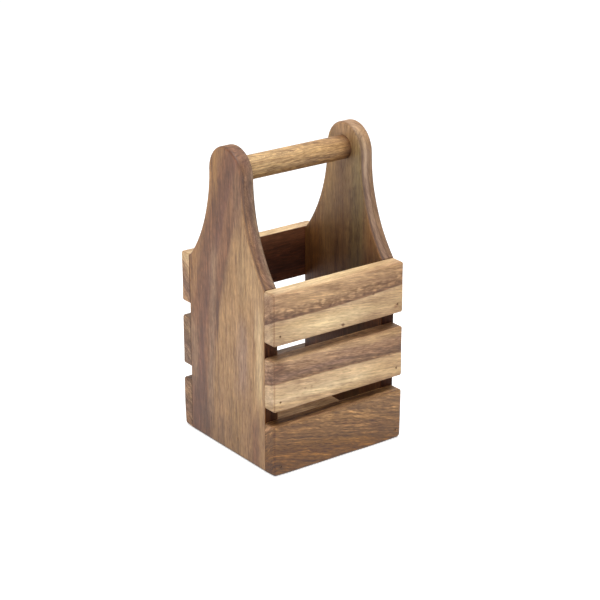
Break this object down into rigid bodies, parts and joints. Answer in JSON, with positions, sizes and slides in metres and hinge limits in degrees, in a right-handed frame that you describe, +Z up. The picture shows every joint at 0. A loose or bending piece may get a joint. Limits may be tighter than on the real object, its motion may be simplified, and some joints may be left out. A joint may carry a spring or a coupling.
{
  "type": "utensil caddy",
  "caption": "Open wooden caddy with domed end boards, a round handle rod between them and slatted front and rear walls.",
  "frame": {"origin": "middle of the underside, on the surface that the caddy stands on", "axes": "+X along the handle to the right end board, -Y to the front slats, +Z up"},
  "size_m": [0.125, 0.125, 0.25],
  "materials": {
    "end_board_wood": "oiled acacia, brown heartwood with a golden streak, upright grain",
    "rod_wood": "oiled golden acacia, turned smooth",
    "floor_wood": "oiled tan acacia",
    "dark_slat_wood": "oiled dark acacia heartwood, lengthwise grain",
    "two_tone_slat_wood": "oiled acacia, brown above pale sapwood",
    "pale_slat_wood": "oiled acacia sapwood with a figured brown band",
    "brad_steel": "dulled steel",
    "pin_wood": "plain pale dowel, unfinished"
  },
  "bodies": {
    "root": {"left_end_board": "end_board_wood", "right_end_board": "end_board_wood", "handle_rod": "rod_wood", "floor_board": "floor_wood", "front_slat_bottom": "dark_slat_wood", "front_slat_middle": "two_tone_slat_wood", "front_slat_top": "pale_slat_wood", "rear_slat_bottom": "dark_slat_wood", "rear_slat_middle": "dark_slat_wood", "rear_slat_top": "two_tone_slat_wood", "front_brads_bottom": "brad_steel", "front_brads_middle": "brad_steel", "front_brads_top": "brad_steel", "rear_brads_bottom": "brad_steel", "rear_brads_middle": "brad_steel", "rear_brads_top": "brad_steel", "left_floor_pins": "pin_wood", "right_floor_pins": "pin_wood"}
  },
  "joints": []
}
